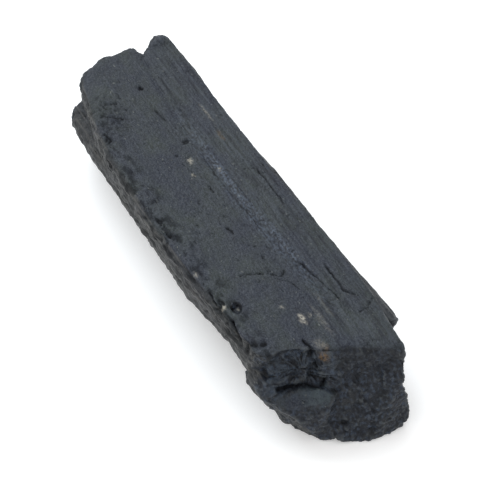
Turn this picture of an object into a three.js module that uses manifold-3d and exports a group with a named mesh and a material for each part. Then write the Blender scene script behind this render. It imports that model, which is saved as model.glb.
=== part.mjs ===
// A raw tourmaline crystal: a stubby bundle of parallel prisms, grown together and broken at both ends.
// Millimetres, +Z up. The crystal lies on its flattened underside with its length along X;
// the stepped, hollowed break is the +X end.
import * as THREE from "three";
import { mergeVertices } from "three/addons/utils/BufferGeometryUtils.js";
import Module from "manifold-3d";

const wasm = await Module();
wasm.setup();

// Overall sizes, before the finished crystal is moved so that its underside is centred on the origin.
const TOP_Z = 16.2; // height of the broad upper face
const LEDGE_Z = 12.3; // height of the ledge below the left ridge
const REST_Z = 0.25; // height at which the underside is worn flat
const BODY_START_X = -47;
const BODY_END_X = 36;
const STATION_STEP = 2.8; // distance between two cross-sections of the main body

// Lines that run along the crystal, each as [x, y] points from the far end to the broken +X end.
const LEFT_RIDGE = [
  [-47, -4], [-42, -5], [-33, -7.5], [-25, -8.5], [-10, -9.5], [0, -9.5], [8, -9], [36, -8.5],
];
const LEFT_BELLY = [[-47, -8], [-35, -9], [-20, -9.5], [0, -9.5], [12, -8.5], [20, -9], [36, -9.5]];
const GROOVE = [[-47, 6.5], [-28, 4.5], [-8, 4], [12, 5.5], [36, 6]];
const RIGHT_EDGE = [[-47, 12], [0, 12], [16, 12.5], [30, 11], [36, 10.5]];

// Depth of the groove that parts the rib from the broad face: it dies out towards the +X end.
const GROOVE_DEPTH = [[-47, 0.9], [-35, 0.5], [0, 0.3], [36, 0.15]];

// How far the lower right flank stands out from the edge above it.
const FLANK = [[-47, 0.3], [10, 0.4], [24, 0], [28, -0.8], [36, -1]];

// How far the foot of that flank stands out beyond it.
const FOOT = [[-47, -0.8], [12, -0.5], [24, 0], [36, 1]];

// Value at one x of a line given as [x, value] points.
function along(line, x) {
  const last = line.length - 1;
  if (x <= line[0][0]) return line[0][1];
  if (x >= line[last][0]) return line[last][1];
  const next = line.findIndex((point) => point[0] > x);
  const [x0, v0] = line[next - 1];
  const [x1, v1] = line[next];
  return v0 + ((v1 - v0) * (x - x0)) / (x1 - x0);
}

// Outline of the main body at one x, as [y, z] points: along the underside, up the right side,
// back across the top and down the left side.
function bodySection(x) {
  const ridge = along(LEFT_RIDGE, x);
  const belly = along(LEFT_BELLY, x);
  const groove = along(GROOVE, x);
  const depth = along(GROOVE_DEPTH, x);
  const edge = along(RIGHT_EDGE, x);
  const flank = edge + along(FLANK, x);
  const foot = flank + along(FOOT, x);
  const swell = 0.12 * Math.sin(x / 6.5);
  return [
    [belly + 5.5, 0],
    [foot - 1.4, 0],
    [foot, 1.6],
    [foot + 0.2, 3.8],
    [flank, 8.2 - swell],
    [flank - 0.1, 12.8],
    [edge, TOP_Z - 1.1],
    [edge - 0.35, TOP_Z - 0.15],
    [edge - 3.2, TOP_Z + 0.15 - swell],
    [groove + 0.8, TOP_Z - 0.1 * depth],
    [groove, TOP_Z - depth],
    [groove - 1.1, TOP_Z],
    [-1.5, TOP_Z + 0.2 + swell],
    [ridge + 2.2, TOP_Z + 0.05 + swell],
    [ridge + 0.2, TOP_Z - 0.35],
    [ridge - 0.5, 14.8],
    [ridge - 0.3, 12.9],
    [Math.min(ridge - 0.3, belly + 0.8), LEDGE_Z],
    [belly, 11.3],
    [belly, 9.8 + swell],
    [belly + 1.8, 6.0],
    [belly + 3.8, 2.4],
  ];
}

// A closed solid through a row of outlines that all have the same number of points.
function loft(xs, sectionAt) {
  const count = sectionAt(xs[0]).length;
  const positions = [];
  for (const x of xs) {
    for (const [y, z] of sectionAt(x)) positions.push(x, y, z);
  }
  const faces = [];
  for (let row = 0; row < xs.length - 1; row++) {
    for (let i = 0; i < count; i++) {
      const a = row * count + i;
      const b = row * count + ((i + 1) % count);
      faces.push(a, b, b + count, a, b + count, a + count);
    }
  }
  const start = sectionAt(xs[0]).map(([y, z]) => new THREE.Vector2(y, z));
  const end = sectionAt(xs[xs.length - 1]).map(([y, z]) => new THREE.Vector2(y, z));
  const endRow = (xs.length - 1) * count;
  for (const [a, b, c] of THREE.ShapeUtils.triangulateShape(start, [])) faces.push(a, c, b);
  for (const [a, b, c] of THREE.ShapeUtils.triangulateShape(end, [])) {
    faces.push(endRow + a, endRow + b, endRow + c);
  }
  const geometry = new THREE.BufferGeometry();
  geometry.setAttribute("position", new THREE.Float32BufferAttribute(positions, 3));
  geometry.setIndex(faces);
  return solid(geometry);
}

// A three.js geometry as a manifold solid. The geometry's faces must point outwards.
function solid(geometry) {
  geometry.deleteAttribute("normal");
  geometry.deleteAttribute("uv");
  const merged = mergeVertices(geometry, 1e-4);
  const mesh = new wasm.Mesh({
    numProp: 3,
    vertProperties: new Float32Array(merged.attributes.position.array),
    triVerts: new Uint32Array(merged.index.array),
  });
  return new wasm.Manifold(mesh);
}

// A prism that runs along X, from an outline of [y, z] points.
function prismX(outline, x0, x1) {
  const shape = new THREE.Shape(outline.map(([y, z]) => new THREE.Vector2(y, z)));
  const geometry = new THREE.ExtrudeGeometry(shape, { depth: x1 - x0, bevelEnabled: false });
  const turn = new THREE.Matrix4().makeBasis(
    new THREE.Vector3(0, 1, 0),
    new THREE.Vector3(0, 0, 1),
    new THREE.Vector3(1, 0, 0),
  );
  geometry.applyMatrix4(turn);
  geometry.translate(x0, 0, 0);
  return solid(geometry);
}

// A prism that runs along Z, from a plan outline of [x, y] points.
function prismZ(outline, z0, z1) {
  const shape = new THREE.Shape(outline.map(([x, y]) => new THREE.Vector2(x, y)));
  const geometry = new THREE.ExtrudeGeometry(shape, { depth: z1 - z0, bevelEnabled: false });
  geometry.translate(0, 0, z0);
  return solid(geometry);
}

// Everything beyond the plane through a point, on the side its normal points to.
function beyond(point, normal) {
  const REACH = 120;
  const geometry = new THREE.BoxGeometry(REACH, REACH, REACH);
  geometry.translate(0, 0, REACH / 2);
  const turn = new THREE.Quaternion().setFromUnitVectors(
    new THREE.Vector3(0, 0, 1),
    new THREE.Vector3(...normal).normalize(),
  );
  geometry.applyQuaternion(turn);
  geometry.translate(...point);
  return solid(geometry);
}

// A rounded hollow, as the ellipsoid that fills it.
function hollow(centre, radii) {
  const geometry = new THREE.IcosahedronGeometry(1, 4);
  geometry.scale(...radii);
  geometry.translate(...centre);
  return solid(geometry);
}

// A solid with each cutter in a list taken away from it.
function carve(whole, cutters) {
  return cutters.reduce((left, cutter) => left.subtract(cutter), whole);
}

// A manifold solid as a three.js geometry.
function meshGeometry(made) {
  const mesh = made.getMesh();
  const positions = [];
  for (let i = 0; i < mesh.numVert; i++) {
    const at = i * mesh.numProp;
    positions.push(...mesh.vertProperties.subarray(at, at + 3));
  }
  const geometry = new THREE.BufferGeometry();
  geometry.setAttribute("position", new THREE.Float32BufferAttribute(positions, 3));
  geometry.setIndex([...mesh.triVerts]);
  return geometry;
}

// The main body, with the groove and rib on its upper face.
const stations = [];
for (let x = BODY_START_X; x < BODY_END_X; x += STATION_STEP) stations.push(x);
stations.push(BODY_END_X);
let body = loft(stations, bodySection);

// The -X break is nearly square across, with its corners knocked off and a notch where the groove
// ends. The slab below the left ridge and the bulk below the rib are broken off a little shorter.
const aboveLedge = beyond([0, 0, LEDGE_Z], [0, 0, 1]);
const rightOfGroove = beyond([0, 6.9, 0], [0, 1, 0]);
const underRib = rightOfGroove.intersect(beyond([0, 6.9, 12], [0, 0.3, -1]));
const grooveNotch = prismZ(
  [[-46, 3.8], [-43.8, 5.2], [-42.3, 6.3], [-43.1, 8.3], [-43.8, 9.3], [-46, 9.6]],
  7.5,
  20,
);
body = carve(body, [
  beyond([-44.4, 0, TOP_Z], [-1, 0, -0.1]),
  beyond([-43.6, -3.7, TOP_Z], [-0.85, -0.5, -0.35]).intersect(aboveLedge),
  beyond([-40.2, -7.2, 12], [-0.85, -0.52, -0.05]),
  beyond([-43.3, 11.7, 10], [-1, 1.3, 0.1]),
  beyond([-43.2, 2, 6.5], [-1, 0.12, -0.45]),
  beyond([-42.2, 11, 4], [-0.7, 0.8, -0.5]),
  beyond([-42.4, 6.5, 9], [-1, 0.35, 0.3]).intersect(underRib),
  grooveNotch,
  hollow([-47.0, 0.5, 7.5], [4.2, 5.5, 4.6]),
]);

// The upper edge of the +X break runs square across on the left and askew on the right.
const squareBreak = beyond([21.9, -6, TOP_Z], [1, 0.06, 0.34]);
const skewBreak = beyond([24.2, 0, TOP_Z], [1, -0.52, 0.36]);

// Below that edge the left half is broken off shorter, up to a wall that faces left.
const shortHalf = beyond([23.4, -4, 10], [1, 0, 0.12]);
const leftOfWall = beyond([24, -1.2, 10], [0.15, -1, 0]);

// The break is finished by shell-shaped hollows and by corners knocked off its foot.
body = carve(body, [
  squareBreak.intersect(skewBreak),
  beyond([30.6, 9, TOP_Z], [1, -0.05, 0.1]),
  shortHalf.intersect(leftOfWall),
  hollow([25.4, -6.2, 14.6], [4.6, 6.0, 4.2]),
  hollow([40.6, -2.0, 16.8], [16, 16, 16]),
  hollow([31.6, 12.8, 10.6], [3.8, 2.8, 3.4]),
  beyond([31, 1.4, 0], [0.54, -0.84, -0.15]),
  beyond([32.5, 10.9, 1], [0.75, 0.9, -0.5]),
]);

// The slab on the right flank grows out of it gradually and ends in a step short of the +X break.
const flankOutline = [
  [8, 2.2], [12.4, 3.4], [14.1, 7.0], [14.7, 11.2], [14.3, 12.6], [13.2, 13.2], [8, 13.8],
];
const flankSlab = carve(prismX(flankOutline, -17, 22.6), [
  beyond([-16.5, 12.3, 10], [-0.06, 1, 0.04]),
  beyond([21.9, 14.2, 12.5], [1, 0.9, -0.5]),
]);

// The short prism that sticks out under the left half of the +X break, with its sloping end faces.
const lowerOutline = [
  [-4.4, 0], [1.9, 0], [1.6, 4.8], [0.4, 9.4], [-1.5, 10.7], [-3.2, 11.4],
  [-8.2, 11.3], [-9.5, 10.2], [-9.5, 8.8], [-7.6, 5.4], [-5.6, 2.2],
];
const lowerPrism = carve(prismX(lowerOutline, 17.5, 34), [
  beyond([25.2, -2.3, 11], [0.62, -0.3, 0.78]),
  beyond([28.8, -1, 7.8], [0.88, -0.4, 0.42]),
  beyond([28.7, -1, 4], [0.97, -0.3, 0]),
  beyond([28.7, -0.4, 2], [0.9, 0.5, 0.1]),
  beyond([18.2, -9.5, 9], [-1, -1, 0.2]),
]);

// What is cut from the joined crystal: the corner under the lower prism, the crevice over it,
// the cleft in the left ridge, the round pit in the upper face, and the flat underside it rests on.
const cleft = prismZ([[13.2, -11], [14.2, -9.2], [17.0, -8.7], [18.9, -9.0], [19.4, -11]], 12.6, 20);
const crystal = carve(body.add(flankSlab).add(lowerPrism), [
  beyond([24.6, -4.1, 0], [0.5, -0.86, -0.4]),
  hollow([24.4, -4.8, 12.0], [2.6, 3.7, 0.8]),
  cleft,
  hollow([11, -6.9, TOP_Z + 0.4], [1.1, 0.95, 1.3]),
  beyond([0, 0, REST_Z], [0, 0, -1]),
]);

// The origin is the middle of the underside of the crystal's bounding box.
const bounds = crystal.boundingBox();
const geometry = meshGeometry(crystal);
geometry.translate(
  -(bounds.min[0] + bounds.max[0]) / 2,
  -(bounds.min[1] + bounds.max[1]) / 2,
  -bounds.min[2],
);

const blackTourmaline = new THREE.MeshStandardMaterial({
  color: 0x3d4248,
  roughness: 0.6,
  metalness: 0,
});

const part = new THREE.Group();
const crystalMesh = new THREE.Mesh(geometry, blackTourmaline);
crystalMesh.name = "crystal";
part.add(crystalMesh);

export default part;
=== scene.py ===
"""A raw black tourmaline crystal, lying on its flattened underside.

The CAD crystal is remeshed finely. Its points are then moved to wear, striate, pit and break it, and it
gets a procedural mineral material. On the crystal, lengths are millimetres and places are shares of its
CAD box: u along X, v along Y and w along Z. The floor, lights and camera are in metres.
"""

import math

import bpy
import numpy as np
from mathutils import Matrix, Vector


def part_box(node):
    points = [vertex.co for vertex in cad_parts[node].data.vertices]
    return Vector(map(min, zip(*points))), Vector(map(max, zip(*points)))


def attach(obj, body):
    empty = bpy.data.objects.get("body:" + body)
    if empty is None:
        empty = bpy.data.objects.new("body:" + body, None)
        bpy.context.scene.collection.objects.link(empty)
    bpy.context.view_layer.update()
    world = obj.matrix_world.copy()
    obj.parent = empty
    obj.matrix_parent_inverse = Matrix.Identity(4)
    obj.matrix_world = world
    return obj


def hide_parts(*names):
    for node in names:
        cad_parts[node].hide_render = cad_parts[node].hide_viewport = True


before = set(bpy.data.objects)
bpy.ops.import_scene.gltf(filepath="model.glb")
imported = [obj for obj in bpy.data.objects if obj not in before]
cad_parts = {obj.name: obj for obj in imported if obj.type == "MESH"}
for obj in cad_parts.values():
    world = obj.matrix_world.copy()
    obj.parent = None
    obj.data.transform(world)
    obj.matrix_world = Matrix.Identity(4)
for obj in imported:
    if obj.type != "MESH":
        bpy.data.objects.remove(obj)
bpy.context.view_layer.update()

MM = 1000  # millimetres in a metre
LOW, HIGH = (np.array(corner, float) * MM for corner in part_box("crystal"))
SIZE = HIGH - LOW  # length, width and height of the crystal
MIDDLE = Vector(((LOW + HIGH) / (2 * MM)).tolist())  # in metres


# ---------------------------------------------------------------- mesh

VOXEL = 0.16
MOST_TRIANGLES = 197000
LENGTH_SQUEEZE = 0.6  # the crystal is remeshed this much shorter, so its cells are longer along X
OVERHANG = 0.3  # how far the relief may stand out of the CAD box
SEED = 11

# Rounds of blurring over neighbouring points.
FIRST_ROUNDS = 4  # takes off the steps that remeshing leaves
NORMAL_ROUNDS = 12
CAVITY_ROUNDS = 14
SHARP_ROUNDS = 24
BLUNT_ROUNDS = 60
BROAD_ROUNDS = 90

# Small wobbles that keep placed features from being straight or round.
WARP_CELL = 1.2
WARP_GAIN = 0.6
WARP_SEED = 40
WARP = (0.45, 0.30, 0.30)

# Kinds of noise: size of the features (one number, or X, Y and Z), seed, octaves and height.
GRAIN = {
    "ragged": (1.7, 1, 3, 1),
    "band gaps": ((12.0, 0.7, 0.7), 2, 2, 1),
    "wander": ((9, 6, 6), 3, 1, 0.4),
    "lines": ((22, 1.5, 1.5), 4, 1, 0.10),
    "fine lines": ((9, 0.55, 0.55), 5, 1, 0.055),
    "swell": ((13, 7, 7), 6, 2, 1),
    "waves": ((4.2, 7, 4.5), 7, 1, 1),
    "ripples": ((1.9, 3, 2.2), 8, 1, 0.6),
    "steps": (2.6, 9, 3, 0.50),
    "feather sway": (1.8, 12, 1, 0.12),
    "shatter": ((0.85, 0.42, 0.42), 13, 2, 0.13),
    "clusters": (9, 14, 1, 1),
    "pocks": ((1.3, 0.7, 0.7), 15, 1, 1),
    "dashes": ((2.2, 0.4, 0.4), 16, 1, 1),
    "rough patch": ((0.8, 0.7, 0.7), 17, 3, 1),
    "pricks": ((0.7, 0.4, 0.4), 18, 1, 1),
    "chips": (2.4, 19, 2, 1),
    "pit edges": (0.50, 22, 2, 1),
    "uneven": (2.2, 24, 2, 0.10),
    "ledges": ((34, 2.9, 2.9), 25, 1, 1),
    "dents": ((2.8, 0.9, 0.9), 26, 1, 1),
    "scratches": ((0.35, 1.5, 1.5), 27, 1, 1),
    "ridge_mottle": ((2.2, 1, 1), 28, 3, 1),
    "knobs": ((1.6, 1.2, 1.2), 30, 2, 1),
    "fine grain": ((0.9, 0.6, 0.6), 31, 2, 1),
    "crack gaps": ((1.1, 0.7, 0.7), 32, 2, 1),
}

# Blocky grains and crumbs on the breaks: size along X, Y and Z, then seed.
BREAK_GRAINS = ((1.25, 1.05, 1.35), 10)
BREAK_CRUMBS = ((0.62, 0.48, 0.66), 11)

# Feathery ridges in the hollow: height, how much finer than the fan itself, then seed.
FEATHERS = ((1.3, (1, 1, 1), 20), (1.2, (2.6, 1.3, 1), 21), (0.6, (5.5, 1.6, 1), 23))
FEATHER_CREST = 0.7
FEATHER_ANGLES = 2.6  # feathers to a radian
FEATHER_LENGTH = 4.5
FEATHER_HUB = (0.88, 0.30, 0.70)  # where the ridges run together
FEATHER_UP = (-0.60, 0.00, 0.80)  # the way up the hollow's slope
FACET_OUTWARD = (0.60, -0.29, 0.75)  # the way the lower prism's smooth facet looks


# ---------------------------------------------------------------- what stands out on the crystal

# The groove's course over the upper face, as u and v, and how much of its depth crusts fill.
GROOVE_U = (0.00, 0.20, 0.50, 0.75, 1.00)
GROOVE_V = (0.66, 0.60, 0.58, 0.63, 0.66)
GROOVE_FILL = (0.30, 0.20, 0.15, 0.00, 0.00)

# Cracks: corners of the course as (u, v) on the upper face or (u, v, w) anywhere, then half width
# and depth. A negative depth is a raised rim.
CRACKS = (
    # A straight split along the rib, and two beside each other where the groove dies out.
    (((0.43, 0.79), (0.55, 0.79)), 0.09, 0.34),
    (((0.68, 0.63), (0.81, 0.70)), 0.10, 0.34),
    (((0.71, 0.76), (0.79, 0.75), (0.82, 0.81)), 0.11, 0.34),
    # Hairlines that curve across the broad face.
    (((0.66, 0.25), (0.67, 0.33), (0.68, 0.40)), 0.11, 0.28),
    (((0.68, 0.40), (0.70, 0.48), (0.69, 0.53)), 0.10, 0.24),
    (((0.70, 0.44), (0.72, 0.50), (0.75, 0.53)), 0.09, 0.22),
    # Splits in the pitted corner and in the groove by the far end.
    (((0.12, 0.18), (0.14, 0.30)), 0.11, 0.22),
    (((0.15, 0.15), (0.17, 0.22), (0.19, 0.30)), 0.13, 0.28),
    (((0.10, 0.66), (0.20, 0.63), (0.28, 0.60)), 0.24, 0.12),
    (((0.19, 0.48), (0.23, 0.50)), 0.16, 0.26),
    # The edge of the shattered band.
    (((0.34, 0.55), (0.46, 0.55), (0.62, 0.57)), 0.09, 0.16),
    # A wedge-shaped chip and two clefts in the left ridge.
    (((0.80, 0.04), (0.82, 0.09), (0.83, 0.15)), 0.36, 0.34),
    (((0.74, 0.06, 0.97), (0.77, 0.04, 0.92), (0.79, 0.03, 0.82)), 0.32, 0.70),
    (((0.66, 0.05, 0.97), (0.71, 0.04, 0.90)), 0.24, 0.45),
    # The notch that runs into the break from above, and a split by the step in the right flank.
    (((0.85, 0.34), (0.89, 0.36)), 0.20, 0.55),
    (((0.83, 0.88), (0.85, 0.80), (0.85, 0.74)), 0.10, 0.22),
    # The crevice over the lower prism, and a rim in the right half of the break.
    (((0.88, 0.10, 0.62), (0.90, 0.25, 0.67), (0.92, 0.41, 0.65)), 0.62, 1.00),
    (((0.93, 0.56, 0.69), (0.96, 0.72, 0.71), (0.97, 0.70, 0.52)), 0.22, -0.28),
)
DARK_CRACK = 0.3  # cracks of this depth and more get fully dark painted shade

# Single pits: u, v, w, radii along X, Y and Z, then depth.
PITS = (
    (0.12, 0.49, 0.99, 0.65, 0.50, 1.0, 0.50),
    (0.30, 0.53, 0.99, 0.50, 0.90, 1.0, 0.22),
    (0.21, 0.10, 0.97, 1.00, 0.40, 1.0, 0.40),
    (0.46, 0.06, 0.97, 1.40, 0.35, 1.0, 0.40),
    (0.50, 0.05, 0.97, 0.90, 0.30, 1.0, 0.30),
    (0.70, 0.06, 0.96, 0.90, 0.45, 1.2, 0.40),
    (0.44, 0.46, 0.99, 0.60, 0.20, 1.0, 0.25),
    (0.55, 0.39, 0.99, 0.90, 0.22, 1.0, 0.28),
    (0.89, 0.33, 0.80, 0.70, 0.80, 0.9, 0.60),
    (0.94, 0.18, 0.25, 0.80, 0.80, 0.8, 0.40),
)
PIT_MARGIN = 1.25  # the ragged edge of a pit lies this much further out than its radii

# Bulges: u, v, w, radii along X, Y and Z, then height. A negative height is a dip.
BULGES = (
    (0.97, 0.42, 0.10, 2.2, 2.0, 2.0, 0.55),
    (0.89, 0.12, 0.16, 2.6, 2.0, 1.6, 0.45),
    (0.84, 0.05, 0.42, 2.0, 1.5, 2.0, -0.35),
    (0.03, 0.30, 0.90, 2.5, 3.0, 2.0, 0.40),
    (0.01, 0.80, 0.95, 2.0, 2.5, 2.0, 0.40),
)

# Pale and rusty grains, and one painted highlight: u, v, w, radii along X, Y and Z, then strength.
PALE_GRAINS = (
    (0.35, 0.46, 0.99, 0.50, 0.45, 1.0, 0.75),
    (0.39, 0.42, 0.99, 0.32, 0.32, 1.0, 0.80),
    (0.40, 0.59, 0.99, 0.42, 0.25, 1.0, 0.60),
    (0.61, 0.04, 0.96, 0.45, 0.40, 1.2, 0.55),
    (0.71, 0.06, 0.96, 0.45, 0.40, 1.2, 0.60),
    # A painted highlight inside the round pit.
    (0.72, 0.14, 0.93, 0.25, 0.25, 0.6, 0.50),
    (0.77, 0.36, 0.99, 0.45, 0.30, 1.0, 0.45),
    (0.81, 0.42, 0.99, 1.10, 0.50, 1.0, 1.00),
    (0.81, 0.47, 0.99, 0.28, 0.24, 1.0, 0.60),
    (0.83, 0.52, 0.99, 3.60, 0.60, 1.0, 0.14),
    (0.80, 0.59, 0.99, 3.00, 0.40, 1.0, 0.12),
    (0.88, 0.41, 0.98, 1.40, 0.90, 1.0, 0.20),
    (0.97, 0.51, 0.18, 0.35, 0.35, 0.4, 0.50),
    (0.25, 0.76, 0.99, 3.00, 0.22, 1.0, 0.28),
)
RUST_GRAINS = (
    (0.90, 0.40, 0.92, 1.00, 1.00, 1.1, 0.46),
    (0.89, 0.43, 0.97, 1.10, 0.60, 1.0, 0.20),
    (0.32, 0.74, 0.98, 1.60, 0.40, 1.0, 0.18),
    (0.83, 0.05, 0.45, 1.40, 1.00, 1.4, 0.14),
)

# The pitted corner by the far end of the left ridge: its place, then its radii.
ROUGH_PLACE = (0.16, 0.20, 0.97)
ROUGH_RADII = (6.5, 3.2, 2.5)


# ---------------------------------------------------------------- colours, floor, lights and camera

def linear(red, green, blue):
    """A linear colour from an sRGB colour in 0 to 255."""
    return tuple(
        (c / 12.92 if c <= 0.04045 else ((c + 0.055) / 1.055) ** 2.4)
        for c in (red / 255, green / 255, blue / 255)
    ) + (1.0,)


FACE_BLUE = linear(18, 24, 38)
FACE_GREEN = linear(31, 38, 36)
SPECKLE = linear(57, 63, 71)
SPECK_DARK = linear(10, 13, 20)
# Painted shade in the furrows of the rib's striations.
FURROW_SHADE = linear(9, 14, 27)
STREAK = linear(50, 56, 64)
SIDE = linear(29, 30, 31)
SIDE_STREAK = linear(74, 73, 70)
BAND_DARK = linear(11, 16, 27)
# Painted glints and sheen in the shattered band.
BAND_GLINT = linear(75, 85, 99)
BREAK = linear(3, 8, 20)
# Painted glints on the break's tiny facets.
BREAK_GLINT = linear(48, 58, 73)
BREAK_BROWN = linear(34, 35, 34)
# Painted shade on the break just under its upper edge.
BREAK_SHADE = linear(2, 6, 17)
# Painted highlight on the feather crests in the hollow.
FEATHER_HIGHLIGHT = linear(58, 70, 84)
# Painted highlight on the lower prism's smooth facet.
FACET_HIGHLIGHT = linear(57, 67, 71)
DUST = linear(104, 107, 104)
# Lighter wear on edges, partly painted highlight on edges and ridges.
WEAR_AND_HIGHLIGHT = linear(64, 68, 71)
# Painted shade in hollows, cracks, pits, scratches and dents, and the ridge's darker mottling.
SHADE_AND_MOTTLE = linear(3, 5, 10)
RUST = linear(116, 90, 56)
PALE = linear(165, 160, 148)

REFRACTION = 1.64
GLOSS = 0.20
GLOSS_IN_CRACKS = 0.10
BUMP_STRENGTH = 0.8
BUMP_DISTANCE = 0.00022  # in metres

WHITE = (1, 1, 1, 1)
FLOOR_WHITE = (0.93, 0.93, 0.93, 1)
FLOOR_HALF = 1.5
FLOOR_GLOW = 0.18
WORLD_STRENGTH = 0.95

COOL_WHITE = (0.86, 0.94, 1.0)
WARM_WHITE = (1.0, 0.95, 0.88)
LIGHT_DISTANCE = 1.2
LIGHTS = (  # name, the way it lies from the crystal, width, power in watts and colour
    ("key", (-0.68, -0.16, 0.70), 0.8, 7.4, COOL_WHITE),
    ("sheen", (-0.56, 0.32, 0.77), 0.9, 2.2, COOL_WHITE),
    ("fill", (-0.30, -0.80, 0.45), 1.0, 2.0, WARM_WHITE),
)

CAMERA_TURN = math.radians(60)
CAMERA_RISE = math.radians(50)
CAMERA_DISTANCE = 0.324
CAMERA_LENS = 162  # millimetres
CAMERA_SENSOR = 36  # millimetres wide
AIM = (0.0807, -0.0909, 0.480)  # from the middle of the CAD box, as shares of it


# ---------------------------------------------------------------- noise

def lattice_hash(cells, seed):
    """A well mixed 32-bit number for each row of integer cell coordinates."""
    mixed = (
        cells[:, 0] * np.uint32(0x9E3779B1)
        ^ cells[:, 1] * np.uint32(0x85EBCA77)
        ^ cells[:, 2] * np.uint32(0xC2B2AE3D)
        ^ np.uint32((seed * 0x27D4EB2F + 0x165667B1) & 0xFFFFFFFF)
    )
    mixed = (mixed ^ (mixed >> np.uint32(15))) * np.uint32(0x2C1B3C6D)
    mixed = (mixed ^ (mixed >> np.uint32(12))) * np.uint32(0x297A2D39)
    return mixed ^ (mixed >> np.uint32(15))


def unit(hashed, shift=0):
    """A share from 0 to 1 out of each hash."""
    return ((hashed >> np.uint32(shift)) & np.uint32(0xFFFF)) / 65535.0


def whole_cells(cells):
    """Cell coordinates as 32-bit numbers that wrap round, for hashing."""
    return cells.astype(np.int64).astype(np.uint32)


def noise(points, seed):
    """Gradient noise, about -1 to 1, with features one unit across."""
    base = np.floor(points)
    part = points - base
    cells = whole_cells(base)
    fade = part**3 * (part * (part * 6 - 15) + 10)
    total = np.zeros(len(points))
    for corner in np.ndindex(2, 2, 2):
        offset = np.array(corner)
        hashed = lattice_hash(cells + offset.astype(np.uint32), seed)
        turn = unit(hashed) * 2 * np.pi
        rise = unit(hashed, 16) * 2 - 1
        flat = np.sqrt(1 - rise**2)
        reach = part - offset
        slope = (
            reach[:, 0] * flat * np.cos(turn)
            + reach[:, 1] * flat * np.sin(turn)
            + reach[:, 2] * rise
        )
        weight = np.prod(np.where(offset == 1, fade, 1 - fade), axis=1)
        total += slope * weight
    return total * 1.6


def layered(points, seed, octaves, gain=0.5):
    """Several octaves of noise."""
    total = np.zeros(len(points))
    for octave in range(octaves):
        total += noise(points * 2.03**octave, seed + 17 * octave) * gain**octave
    return total


def grain(points, name):
    """Noise of a kind that GRAIN names."""
    size, seed, octaves, height = GRAIN[name]
    return height * layered(points / size, SEED + seed, octaves)


def cells_of(points, kind):
    """Distance to the nearest of one random point per cell, and that point's own random share."""
    size, offset = kind
    seed = SEED + offset
    places = points / size
    base = np.floor(places)
    nearest = np.full(len(places), 9.0)
    own = np.zeros(len(places))
    for step in np.ndindex(3, 3, 3):
        cell = base + np.array(step) - 1
        hashed = lattice_hash(whole_cells(cell), seed)
        seeded = cell + np.stack([unit(hashed), unit(hashed, 8), unit(hashed, 16)], 1)
        gap = np.linalg.norm(places - seeded, axis=1)
        closer = gap < nearest
        nearest[closer] = gap[closer]
        own[closer] = unit(lattice_hash(whole_cells(cell), seed + 5))[closer]
    return nearest, own


def smooth(low, high, value):
    """0 below low, 1 above high, and a smooth step between. With low above high, it falls."""
    share = np.clip((value - low) / (high - low), 0, 1)
    return share * share * (3 - 2 * share)


def rare(values, share):
    """Picks out the highest share of the values: 1 at the peaks, and 0 on the rest."""
    low, high = np.quantile(values, (1 - share * 1.6, 1 - share * 0.4))
    return smooth(low, high, values)


def to_place(shares):
    """A place in millimetres from shares of the crystal's box, for as many axes as are given."""
    count = len(shares)
    return LOW[:count] + np.array(shares) * SIZE[:count]


def spot(points, shares, radii):
    """A soft spot: 1 in the middle and 0 past its radii."""
    offset = (points - to_place(shares)) / np.array(radii)
    return 1 - smooth(0.45, 1.10, np.linalg.norm(offset, axis=1))


def course_distance(points, course):
    """Distance from each point to a course of straight runs, and how far along it the point lies."""
    best = np.full(len(points), 1e9)
    share = np.zeros(len(points))
    corners = [to_place(corner) for corner in course]
    flat = points[:, : len(corners[0])]
    for i, (start, end) in enumerate(zip(corners, corners[1:])):
        run = end - start
        part = np.clip(((flat - start) @ run) / (run @ run), 0, 1)
        gap = np.linalg.norm(flat - start - part[:, None] * run, axis=1)
        closer = gap < best
        best[closer] = gap[closer]
        share[closer] = ((i + part) / (len(corners) - 1))[closer]
    return best, share


# ---------------------------------------------------------------- the fine mesh

def vertex_places(mesh):
    """A mesh's vertex positions, in rows of three."""
    places = np.empty(len(mesh.vertices) * 3)
    mesh.vertices.foreach_get("co", places)
    return places.reshape(-1, 3)


def stretch(mesh, share):
    """Scales a mesh along X."""
    places = vertex_places(mesh)
    places[:, 0] *= share
    mesh.vertices.foreach_set("co", places.ravel())
    mesh.update()


def apply_modifiers(piece):
    """Puts the result of a piece's modifiers in its mesh."""
    depsgraph = bpy.context.evaluated_depsgraph_get()
    mesh = bpy.data.meshes.new_from_object(piece.evaluated_get(depsgraph))
    piece.modifiers.clear()
    piece.data = mesh


def remeshed(node):
    """A fine, even, closed copy of a CAD node."""
    piece = bpy.data.objects.new("crystal_stone", node.data.copy())
    bpy.context.scene.collection.objects.link(piece)
    stretch(piece.data, LENGTH_SQUEEZE)
    fine = piece.modifiers.new("fine", "REMESH")
    fine.mode = "VOXEL"
    fine.voxel_size = VOXEL / MM
    fine.use_smooth_shade = True
    apply_modifiers(piece)
    stretch(piece.data, 1 / LENGTH_SQUEEZE)
    piece.data.materials.clear()
    return piece


def thin_out(piece):
    """Takes triangles away where they are least missed, down to the most that are allowed."""
    piece.data.calc_loop_triangles()
    fewer = piece.modifiers.new("fewer", "DECIMATE")
    fewer.ratio = min(1, MOST_TRIANGLES / len(piece.data.loop_triangles))
    apply_modifiers(piece)


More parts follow.
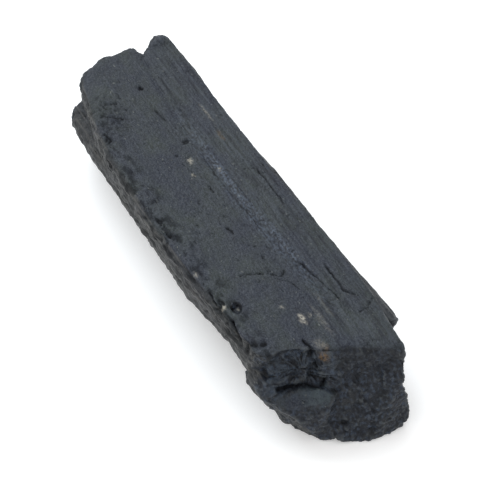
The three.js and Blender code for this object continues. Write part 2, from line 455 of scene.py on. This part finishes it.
class Skin:
    """The crystal's surface points in millimetres, and what is needed to weather them."""

    def __init__(self, mesh):
        self.mesh = mesh
        self.points = vertex_places(mesh) * MM
        edges = np.empty(len(mesh.edges) * 2, np.int64)
        mesh.edges.foreach_get("vertices", edges)
        edges = edges.reshape(-1, 2)
        self.source = np.concatenate([edges[:, 0], edges[:, 1]])
        self.target = np.concatenate([edges[:, 1], edges[:, 0]])
        self.links = np.maximum(np.bincount(self.target, minlength=len(self.points)), 1)

    def column_averaged(self, column, rounds):
        """One value per point, blurred over its neighbours."""
        for _ in range(rounds):
            around = np.bincount(self.target, column[self.source], len(column)) / self.links
            column = 0.5 * column + 0.5 * around
        return column

    def averaged(self, values, rounds):
        """Several values per point, blurred over its neighbours."""
        return np.stack([self.column_averaged(column, rounds) for column in values.T], 1)

    def store(self):
        """Writes the points to the mesh."""
        self.mesh.vertices.foreach_set("co", (self.points / MM).ravel())
        self.mesh.update()

    def normals(self, rounds):
        """Outward directions at the points, blurred."""
        self.store()
        flat = np.empty(len(self.points) * 3)
        self.mesh.vertex_normals.foreach_get("vector", flat)
        blurred = self.averaged(flat.reshape(-1, 3), rounds)
        return blurred / (np.linalg.norm(blurred, axis=1)[:, None] + 1e-9)

    def standing_out(self, points, rounds):
        """How far points stand out of the same surface, blurred."""
        return np.einsum("ij,ij->i", points - self.averaged(points, rounds), self.normal)

    def settle(self):
        """Rounds the surface off, most of all the break's upper edge, and notes where each point is."""
        self.points = self.averaged(self.points, FIRST_ROUNDS)
        u, v, w = ((self.points - LOW) / SIZE).T
        blunt = smooth(0.84, 0.88, u) * smooth(0.42, 0.50, v)
        blunt = blunt * smooth(0.90, 0.82, v) * smooth(0.80, 0.90, w)
        self.points += blunt[:, None] * (self.averaged(self.points, BLUNT_ROUNDS) - self.points)
        self.start = self.points.copy()
        self.u, self.v, self.w = ((self.start - LOW) / SIZE).T
        self.normal = self.normals(NORMAL_ROUNDS)
        cells = self.start / WARP_CELL
        warp = [layered(cells, SEED + WARP_SEED + axis, 3, WARP_GAIN) for axis in range(3)]
        self.warped = self.start + np.stack(warp, 1) * WARP


# ---------------------------------------------------------------- weathering

def surface_kinds(skin):
    """How far each point belongs to each kind of surface, from 0 to 1."""
    u, v, w = skin.u, skin.v, skin.w
    lengthwise = np.abs(skin.normal[:, 0])
    upward = skin.normal[:, 2]

    # The breaks look along the crystal. The hollow under the near end's upper edge counts as broken too.
    ragged = grain(skin.start, "ragged")
    broken = smooth(0.42, 0.60, lengthwise + 0.18 * ragged * smooth(0.15, 0.40, lengthwise))
    hollow = smooth(0.845, 0.855, u) * smooth(0.93, 0.90, w) * smooth(0.50, 0.44, v)
    hollow = hollow * smooth(0.56, 0.62, w)
    broken = np.maximum(broken, hollow)

    # The lower prism ends in a smooth facet.
    facet = smooth(0.88, 0.97, skin.normal @ np.array(FACET_OUTWARD))
    facet = facet * smooth(0.89, 0.91, u) * smooth(0.70, 0.67, w)
    facet = facet * smooth(0.42, 0.37, v)
    broken = broken * (1 - 0.8 * facet)

    # The rest is the underside, the upper face with its right margin, and the sides.
    under = smooth(0.5, 0.9, -upward) * smooth(0.06, 0.0, w)
    upper = smooth(0.45, 0.8, upward) * (1 - broken) * smooth(0.72, 0.86, w)
    side = (1 - broken) * (1 - upper) * (1 - facet)
    margin = upper * smooth(0.94, 0.98, v) * smooth(0.2, 0.5, u)

    # The upper face carries the striated rib right of the groove, and the shattered band along it.
    across = (v - np.interp(u, GROOVE_U, GROOVE_V)) * SIZE[1]
    near_end = smooth(0.72, 0.84, u) * smooth(0.34, 0.52, v)
    rib = upper * np.maximum(smooth(-0.5, 1.0, across), 0.8 * near_end)
    band = np.exp(-(((across + 0.05) / 1.15) ** 2)) * upper
    band = band * smooth(0.16, 0.34, u) * smooth(0.90, 0.60, u)
    band = band * (0.45 + 0.55 * smooth(-0.4, 0.3, grain(skin.start, "band gaps")))
    return {
        "broken": broken,
        "facet": facet,
        "under": under,
        "upper": upper,
        "side": side,
        "margin": margin,
        "rib": rib,
        "band": band,
        "hollow": hollow,
        "across": across,  # millimetres from the groove's course
    }


def growth_relief(skin, kinds):
    """Striations along the crystal, slow swells, and the wavy sides."""
    upper, rib, side = kinds["upper"], kinds["rib"], kinds["side"]
    wandering = skin.start + grain(skin.start, "wander")[:, None] * np.array((0, 1, 1))
    striae = grain(wandering, "lines") + grain(wandering, "fine lines")
    relief = striae * (0.40 * upper + 1.10 * rib + 1.8 * side)
    relief += grain(skin.start, "swell") * (0.08 * upper + 0.22 * side)
    ledges = smooth(-0.05, 0.05, grain(wandering, "ledges"))
    relief += 0.22 * (ledges - 0.5) * side
    waves = grain(skin.start, "waves") + grain(skin.start, "ripples")
    knobs = grain(skin.start, "knobs")
    fine_grain = grain(skin.start, "fine grain")
    calm = 1 - 0.75 * smooth(0.80, 0.93, skin.v)  # the right flank is smoother than the left one
    relief += (0.24 * waves + 0.20 * knobs + 0.05 * fine_grain) * side * calm
    relief += 0.035 * fine_grain * upper + 0.05 * knobs * upper
    fill = np.interp(skin.u, GROOVE_U, GROOVE_FILL)
    relief += fill * np.exp(-((kinds["across"] / 0.8) ** 2)) * upper
    return relief + grain(skin.start, "shatter") * kinds["band"]


def feather_relief(skin):
    """Ridges that fan out from a hub like a feather's barbs, and how far each point is from the hub."""
    from_hub = skin.start - to_place(FEATHER_HUB)
    outward = -from_hub[:, 1]
    upward = from_hub @ np.array(FEATHER_UP)
    angle = np.arctan2(upward, outward) + grain(skin.start, "feather sway")
    reach = np.hypot(upward, outward)
    fan = np.stack([angle * FEATHER_ANGLES, reach / FEATHER_LENGTH, angle * 0], 1)
    feathers = FEATHER_CREST
    for height, finer, seed in FEATHERS:
        feathers = feathers - height * np.abs(noise(fan * finer, SEED + seed))
    return feathers, reach


def break_relief(skin, kinds):
    """Blunt steps and grains on the breaks, with feathers in the hollow, and where the feathers rise."""
    grains, grain_kind = cells_of(skin.warped, BREAK_GRAINS)
    crumbs, crumb_kind = cells_of(skin.warped, BREAK_CRUMBS)
    relief = grain(skin.warped, "steps") + 0.24 * (grain_kind - 0.5) * smooth(0.62, 0.35, grains)
    relief += 0.16 * (0.5 - grains) + 0.12 * (0.5 - crumbs) + 0.08 * (crumb_kind - 0.5)
    feathers, reach = feather_relief(skin)
    in_hollow = kinds["hollow"] * smooth(0.3, 1.5, reach) * smooth(8.0, 5.0, reach)
    relief = relief * (1 - 0.60 * in_hollow) + 0.34 * feathers * in_hollow
    # Painted highlight: the crests of the feathers are painted lighter.
    feather_highlight = in_hollow * smooth(-0.15, 0.35, feathers)
    by_edge = 0.35 + 0.65 * smooth(0.99, 0.90, skin.w)
    return relief * kinds["broken"] * (1 - 0.5 * kinds["facet"]) * by_edge, feather_highlight


def scattered_wear(skin, kinds):
    """Pocks, dashes, scratches, ridge mottling and dents all over. Returns their depth, and darkness
    that is painted shade in the marks.
    """
    whole = (1 - kinds["broken"]) * (1 - kinds["under"])
    clusters = smooth(-0.1, 0.5, grain(skin.start, "clusters"))
    by_ridge = smooth(0.24, 0.08, skin.v) * smooth(0.70, 0.86, skin.w)
    pocks = rare(grain(skin.warped, "pocks") + 0.20 * clusters + 0.25 * by_ridge, 0.005)
    dashes = rare(grain(skin.warped, "dashes") + 0.15 * clusters + 0.1 * by_ridge, 0.007)
    pricks = rare(grain(skin.warped, "pricks"), 0.014)
    depth = (0.13 * pocks + 0.11 * dashes + 0.06 * pricks) * whole
    # Painted shade: the pocks, dashes and pricks, and below them the scratches, dents and pitted corner,
    # are painted darker.
    dark = (0.45 * pocks + 0.45 * dashes + 0.25 * pricks) * whole

    scratches = rare(grain(skin.warped, "scratches") + 0.15 * clusters, 0.005) * whole
    depth += 0.07 * scratches
    dark = np.maximum(dark, 0.5 * scratches)

    # Darker mottling along the upper left side by the ridge, towards the far end.
    ridge_mottle = by_ridge * smooth(0.12, 0.30, skin.u) * smooth(-0.1, 0.5, grain(skin.start, "ridge_mottle"))
    dark = np.maximum(dark, 0.72 * ridge_mottle)

    dents = rare(grain(skin.warped, "dents"), 0.02) * kinds["side"]
    depth += 0.28 * dents
    dark = np.maximum(dark, 0.45 * dents)

    patch = spot(skin.start, ROUGH_PLACE, ROUGH_RADII)
    rough = grain(skin.start, "rough patch")
    depth += patch * (0.08 - 0.15 * rough)
    dark = np.maximum(dark, patch * (0.12 + 0.45 * smooth(0.1, -0.6, rough)))
    return depth, dark


def placed_wear(skin, depth, dark):
    """Adds the cracks, bulges and pits that have their own places to the depth, and painted shade in the
    cracks and pits to the darkness.
    """
    high = smooth(0.72, 0.86, skin.w)
    gaps = 0.62 + 0.38 * smooth(-0.25, 0.20, grain(skin.start, "crack gaps"))
    half_warped = (skin.start + skin.warped) / 2
    for course, half, cut in CRACKS:
        gap, share = course_distance(half_warped, course)
        line = np.exp(-((gap / half) ** 2)) * smooth(0, 0.10, share) * smooth(1, 0.90, share)
        on_upper_face = len(course[0]) == 2
        if on_upper_face:
            line = line * high * gaps
        depth += cut * line
        # Painted shade: the deeper a crack, the darker it is painted.
        dark = np.maximum(dark, line * min(max(cut / DARK_CRACK, 0), 1))
    for u, v, w, rx, ry, rz, height in BULGES:
        depth -= height * spot(skin.start, (u, v, w), (rx, ry, rz))
    ragged = grain(skin.start, "pit edges")
    for u, v, w, rx, ry, rz, cut in PITS:
        pit = spot(skin.warped, (u, v, w), (rx * PIT_MARGIN, ry * PIT_MARGIN, rz * PIT_MARGIN))
        pit = smooth(0.25, 0.85, pit * (1 + 0.9 * ragged))
        depth += 0.8 * cut * pit
        # Painted shade in the pit.
        dark = np.maximum(dark, 0.75 * pit)
    return depth, np.clip(dark, 0, 1)


def edge_wear(skin, kinds):
    """How much the sharp edges have lost, in millimetres, and where they are."""
    sharp = skin.standing_out(skin.start, SHARP_ROUNDS)
    broad = skin.standing_out(skin.start, BROAD_ROUNDS)
    edge = smooth(0.03, 0.16, sharp)
    chips = smooth(0.05, 0.70, grain(skin.start, "chips"))
    high = smooth(0.70, 0.90, skin.w)
    blunted = np.maximum(smooth(0.84, 0.90, skin.u), smooth(0.20, 0.06, skin.v)) * high
    lost = edge * (0.05 + 0.28 * chips) + blunted * smooth(0.05, 0.45, broad) * (0.08 + 0.24 * chips)
    return lost * (1 - 0.7 * kinds["under"]), edge


def stains(points, grains):
    """The strongest of several soft spots at each point."""
    most = np.zeros(len(points))
    for u, v, w, rx, ry, rz, strength in grains:
        most = np.maximum(most, strength * spot(points, (u, v, w), (rx, ry, rz)))
    return most


def push_out(skin, push, under):
    """Moves the points along their normals, but nothing out of the underside that it rests on."""
    push = np.where(under > 0, np.minimum(push, 0) * (1 - 0.55 * under), push)
    skin.points = skin.start + skin.normal * push[:, None]
    skin.points = np.clip(skin.points, LOW - (OVERHANG, OVERHANG, 0), HIGH + OVERHANG)
    skin.store()


def weather(skin):
    """Wears the smooth crystal. Returns what its material needs to know at each point."""
    skin.settle()
    kinds = surface_kinds(skin)
    depth, dark = placed_wear(skin, *scattered_wear(skin, kinds))
    lost, edge = edge_wear(skin, kinds)
    fracture, feather_highlight = break_relief(skin, kinds)
    push_out(skin, growth_relief(skin, kinds) + fracture - depth - lost, kinds["under"])
    under_edge = smooth(0.66, 0.86, skin.w + grain(skin.start, "uneven"))
    # Painted shade: the break is painted darker just under its upper edge.
    break_shade = kinds["broken"] * (under_edge * smooth(0.40, 0.52, skin.v))
    cavity = -skin.standing_out(skin.points, CAVITY_ROUNDS)
    return {
        "broken": kinds["broken"],
        "facet": kinds["facet"] * smooth(0.20, 0.30, skin.v),
        "break_shade": break_shade,
        "feather_highlight": feather_highlight,
        "band": kinds["band"],
        "rib": kinds["rib"],
        "side": kinds["side"] + 0.7 * kinds["margin"],
        "dark": dark,
        "edge": edge,
        "cavity": np.clip(cavity / 0.20, -1, 1),
        "pale": stains(skin.warped, PALE_GRAINS),
        "rust": stains(skin.warped, RUST_GRAINS),
    }


def crystal_piece():
    """The visible crystal, in place of the CAD node."""
    piece = remeshed(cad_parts["crystal"])
    masks = weather(Skin(piece.data))
    for name, values in masks.items():
        layer = piece.data.attributes.new(name, "FLOAT", "POINT")
        layer.data.foreach_set("value", values.astype(np.float32))
    thin_out(piece)
    piece.data.materials.append(stone_material())
    return piece


# ---------------------------------------------------------------- material

class Nodes:
    """Short ways to build a material's nodes. A value is a number, a colour or another node's output."""

    def __init__(self, tree):
        self.tree = tree
        self.place = self.make("ShaderNodeTexCoord").outputs["Object"]

    def plug(self, socket, value):
        """Links an output to a socket, or sets the socket's own value."""
        if isinstance(value, bpy.types.NodeSocket):
            self.tree.links.new(value, socket)
        else:
            socket.default_value = value

    def make(self, kind, **inputs):
        """A node with its input values by name, an underscore standing for a space."""
        made = self.tree.nodes.new(kind)
        for name, value in inputs.items():
            self.plug(made.inputs[name.replace("_", " ")], value)
        return made

    def mask(self, name):
        """What the weathering stored at each point under a name."""
        made = self.make("ShaderNodeAttribute")
        made.attribute_name = name
        return made.outputs["Fac"]

    def noise(self, scales, detail=3.0):
        """Noise from 0 to 1, with this many features to a metre along X, Y and Z."""
        mapping = self.make("ShaderNodeMapping", Vector=self.place, Scale=scales)
        made = self.make(
            "ShaderNodeTexNoise", Vector=mapping.outputs[0], Scale=1.0, Detail=detail, Roughness=0.55
        )
        return made.outputs["Fac"]

    def blend(self, amount, first, second):
        """The first colour turned into the second by an amount."""
        made = self.make("ShaderNodeMix")
        made.data_type = "RGBA"
        self.plug(made.inputs[0], amount)
        self.plug(made.inputs[6], first)
        self.plug(made.inputs[7], second)
        return made.outputs[2]

    def calculate(self, operation, first, second):
        """One step of arithmetic."""
        made = self.make("ShaderNodeMath")
        made.operation = operation
        self.plug(made.inputs[0], first)
        self.plug(made.inputs[1], second)
        return made.outputs[0]

    def times(self, first, second):
        """A product."""
        return self.calculate("MULTIPLY", first, second)

    def plus(self, first, second):
        """A sum."""
        return self.calculate("ADD", first, second)

    def ranged(self, value, low, high, to_low, to_high):
        """A value between low and high, brought to between to_low and to_high."""
        made = self.make(
            "ShaderNodeMapRange",
            Value=value,
            From_Min=low,
            From_Max=high,
            To_Min=to_low,
            To_Max=to_high,
        )
        made.clamp = True
        return made.outputs[0]


def face_colour(nodes, streaks, grit):
    """The prism faces: mottled and speckled, streaked on the rib with painted shade in its furrows,
    streaked on the sides, and dark with painted glints in the shattered band.
    """
    mask, blend, times, ranged = nodes.mask, nodes.blend, nodes.times, nodes.ranged
    mottle = nodes.noise((170, 280, 280), 4)
    speckle = nodes.noise((3600, 4600, 4600), 2)
    colour = blend(ranged(mottle, 0.38, 0.62, 0, 1), FACE_BLUE, FACE_GREEN)
    colour = blend(ranged(speckle, 0.42, 0.64, 0, 0.66), colour, SPECKLE)
    colour = blend(ranged(grit, 0.34, 0.44, 0.55, 0), colour, SPECK_DARK)
    line_amount = times(ranged(streaks, 0.50, 0.70, 0, 1), ranged(mask("rib"), 0, 1, 0.18, 0.75))
    colour = blend(line_amount, colour, STREAK)
    # Painted shade in the furrows between the rib's striations, where the bump is low.
    furrow_shade = times(ranged(streaks, 0.34, 0.48, 1, 0), ranged(mask("rib"), 0, 1, 0.12, 0.75))
    colour = blend(furrow_shade, colour, FURROW_SHADE)
    side_colour = blend(ranged(streaks, 0.48, 0.68, 0, 1), SIDE, SIDE_STREAK)
    colour = blend(times(mask("side"), 0.75), colour, side_colour)
    # Painted glints: the shattered band's grains are painted light among dark ones.
    band_colour = blend(ranged(grit, 0.42, 0.60, 0, 1), BAND_DARK, BAND_GLINT)
    return blend(times(mask("band"), 0.8), colour, band_colour)


def with_breaks(nodes, colour):
    """Lays the breaks' colours over the faces': flecked with painted glints, brown in patches, with
    painted shade under the upper edge, and painted highlights on the feather crests and the smooth
    facet.
    """
    mask, blend, times, ranged = nodes.mask, nodes.blend, nodes.times, nodes.ranged
    patches = nodes.noise((480, 480, 480), 3)
    flecks = nodes.noise((1500, 1900, 1400), 3)
    # Painted glints: the breaks are flecked lighter where their tiny facets would glint.
    break_colour = blend(ranged(flecks, 0.48, 0.66, 0, 1), BREAK, BREAK_GLINT)
    break_colour = blend(ranged(patches, 0.52, 0.62, 0, 0.45), break_colour, BREAK_BROWN)
    # Painted shade under the break's upper edge.
    break_colour = blend(times(mask("break_shade"), 0.55), break_colour, BREAK_SHADE)
    colour = blend(times(mask("broken"), 0.85), colour, break_colour)
    # Painted highlight on the feather crests in the hollow.
    colour = blend(times(mask("feather_highlight"), 0.38), colour, FEATHER_HIGHLIGHT)
    # Painted highlight: the smooth facet is painted lighter.
    facet_highlight = times(mask("facet"), ranged(flecks, 0.40, 0.60, 0.25, 0.75))
    return blend(facet_highlight, colour, FACET_HIGHLIGHT)


def with_wear(nodes, colour, flecks):
    """Lays dust, worn edges with painted highlights, painted shade in hollows and marks, the ridge's
    darker mottling, and mineral grains with one painted highlight over a colour.
    """
    mask, blend, times, ranged = nodes.mask, nodes.blend, nodes.times, nodes.ranged
    colour = blend(ranged(flecks, 0.66, 0.74, 0, 0.55), colour, DUST)
    # Edges painted lighter: partly wear, partly painted highlight.
    colour = blend(times(mask("edge"), ranged(flecks, 0.40, 0.60, 0, 0.4)), colour, WEAR_AND_HIGHLIGHT)
    # Painted highlight on the breaks' ridges and crests, partly wear.
    ridge_highlight = times(mask("broken"), ranged(mask("cavity"), -0.7, -0.1, 0.6, 0))
    colour = blend(ridge_highlight, colour, WEAR_AND_HIGHLIGHT)
    # Painted shade in hollows: the further a point lies under its neighbours, the darker it is painted.
    colour = blend(ranged(mask("cavity"), 0.05, 0.80, 0, 0.8), colour, SHADE_AND_MOTTLE)
    # Painted shade in the cracks, pits, scratches and dents, and the ridge's darker mottling.
    colour = blend(times(mask("dark"), 0.9), colour, SHADE_AND_MOTTLE)
    clumps = ranged(nodes.noise((2600, 3000, 3000), 2), 0.38, 0.54, 0.20, 1)
    colour = blend(times(mask("rust"), clumps), colour, RUST)
    # Pale grains, and one painted highlight inside the round pit.
    return blend(times(mask("pale"), clumps), colour, PALE)


def stone_roughness(nodes, flecks):
    """Satin faces, a glossier band, and duller cracks."""
    rough = nodes.ranged(nodes.mask("broken"), 0, 1, 0.52, 0.50)
    rough = nodes.calculate("SUBTRACT", rough, nodes.times(nodes.mask("band"), 0.12))
    rough = nodes.plus(rough, nodes.ranged(flecks, 0.3, 0.7, -0.08, 0.08))
    return nodes.plus(rough, nodes.times(nodes.mask("dark"), 0.2))


def stone_bump(nodes, streaks, flecks):
    """The finest grain, too small for the mesh: hair lines on the faces, tiny facets on the breaks."""
    facets = nodes.make("ShaderNodeTexVoronoi", Vector=nodes.place, Scale=1900)
    glint = nodes.make("ShaderNodeSeparateColor", Color=facets.outputs["Color"]).outputs[0]
    fine_height = nodes.plus(nodes.times(streaks, 0.6), nodes.noise((2200, 2800, 2800), 3))
    coarse_height = nodes.plus(nodes.times(glint, 0.5), flecks)
    coarse_amount = nodes.plus(nodes.mask("broken"), nodes.times(nodes.mask("band"), 0.8))
    height = nodes.plus(fine_height, nodes.times(coarse_height, coarse_amount))
    bump = nodes.make(
        "ShaderNodeBump", Strength=BUMP_STRENGTH, Distance=BUMP_DISTANCE, Height=height
    )
    return bump.outputs[0]


def stone_material():
    """Black tourmaline: near black, slightly blue, with a soft sheen, dust and mineral specks."""
    material = bpy.data.materials.new("black_tourmaline")
    material.use_nodes = True
    material.node_tree.nodes.clear()
    nodes = Nodes(material.node_tree)
    streaks = nodes.noise((150, 2300, 2300), 3)
    flecks = nodes.noise((1100, 1700, 1700), 3)
    grit = nodes.noise((1900, 2700, 2700), 3)
    colour = with_wear(nodes, with_breaks(nodes, face_colour(nodes, streaks, grit)), flecks)
    shader = nodes.make(
        "ShaderNodeBsdfPrincipled",
        Base_Color=colour,
        Roughness=stone_roughness(nodes, flecks),
        Normal=stone_bump(nodes, streaks, flecks),
        IOR=REFRACTION,
        Specular_IOR_Level=nodes.ranged(nodes.mask("dark"), 0, 1, GLOSS, GLOSS_IN_CRACKS),
    )
    nodes.make("ShaderNodeOutputMaterial", Surface=shader.outputs[0])
    return material


# ---------------------------------------------------------------- floor, lights and camera

def floor_material():
    """A dull white that glows a little, so that it looks as white as the background."""
    material = bpy.data.materials.new("pale_floor")
    material.use_nodes = True
    shader = material.node_tree.nodes["Principled BSDF"]
    shader.inputs["Base Color"].default_value = FLOOR_WHITE
    shader.inputs["Roughness"].default_value = 0.9
    shader.inputs["Specular IOR Level"].default_value = 0.1
    shader.inputs["Emission Color"].default_value = WHITE
    shader.inputs["Emission Strength"].default_value = FLOOR_GLOW
    return material


def add_floor():
    """A pale floor under the crystal."""
    ground = float(LOW[2]) / MM
    turns = ((-1, -1), (1, -1), (1, 1), (-1, 1))
    corners = [(x * FLOOR_HALF, y * FLOOR_HALF, ground) for x, y in turns]
    mesh = bpy.data.meshes.new("floor")
    mesh.from_pydata(corners, [], [(0, 1, 2, 3)])
    floor = bpy.data.objects.new("floor", mesh)
    bpy.context.scene.collection.objects.link(floor)
    floor.data.materials.append(floor_material())


def add_world():
    """Even light from all round."""
    world = bpy.data.worlds.new("studio")
    world.use_nodes = True
    background = world.node_tree.nodes["Background"]
    background.inputs["Color"].default_value = WHITE
    background.inputs["Strength"].default_value = WORLD_STRENGTH
    bpy.context.scene.world = world


def add_light(name, direction, width, power, colour):
    """A square soft light that shines at the crystal from a direction."""
    light = bpy.data.lights.new(name, "AREA")
    light.size = width
    light.energy = power
    light.color = colour
    lamp = bpy.data.objects.new(name, light)
    away = Vector(direction).normalized()
    lamp.location = MIDDLE + away * LIGHT_DISTANCE
    lamp.rotation_euler = away.to_track_quat("Z", "Y").to_euler()
    bpy.context.scene.collection.objects.link(lamp)


def add_camera():
    """Looks down along the crystal from beyond its broken end."""
    data = bpy.data.cameras.new("camera")
    data.sensor_width = CAMERA_SENSOR
    data.lens = CAMERA_LENS
    data.clip_start = 0.01
    data.clip_end = 20
    camera = bpy.data.objects.new("camera", data)
    level = math.cos(CAMERA_RISE)
    away = Vector(
        (math.sin(CAMERA_TURN) * level, -math.cos(CAMERA_TURN) * level, math.sin(CAMERA_RISE))
    )
    target = MIDDLE + Vector([share * side for share, side in zip(AIM, SIZE)]) / MM
    camera.location = target + away * CAMERA_DISTANCE
    camera.rotation_euler = away.to_track_quat("Z", "Y").to_euler()
    bpy.context.scene.collection.objects.link(camera)
    bpy.context.scene.camera = camera


# ---------------------------------------------------------------- the scene

add_camera()
add_floor()
add_world()
for light in LIGHTS:
    add_light(*light)
stone = crystal_piece()
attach(stone, "root")
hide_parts("crystal")
bpy.context.scene.view_settings.view_transform = "Standard"
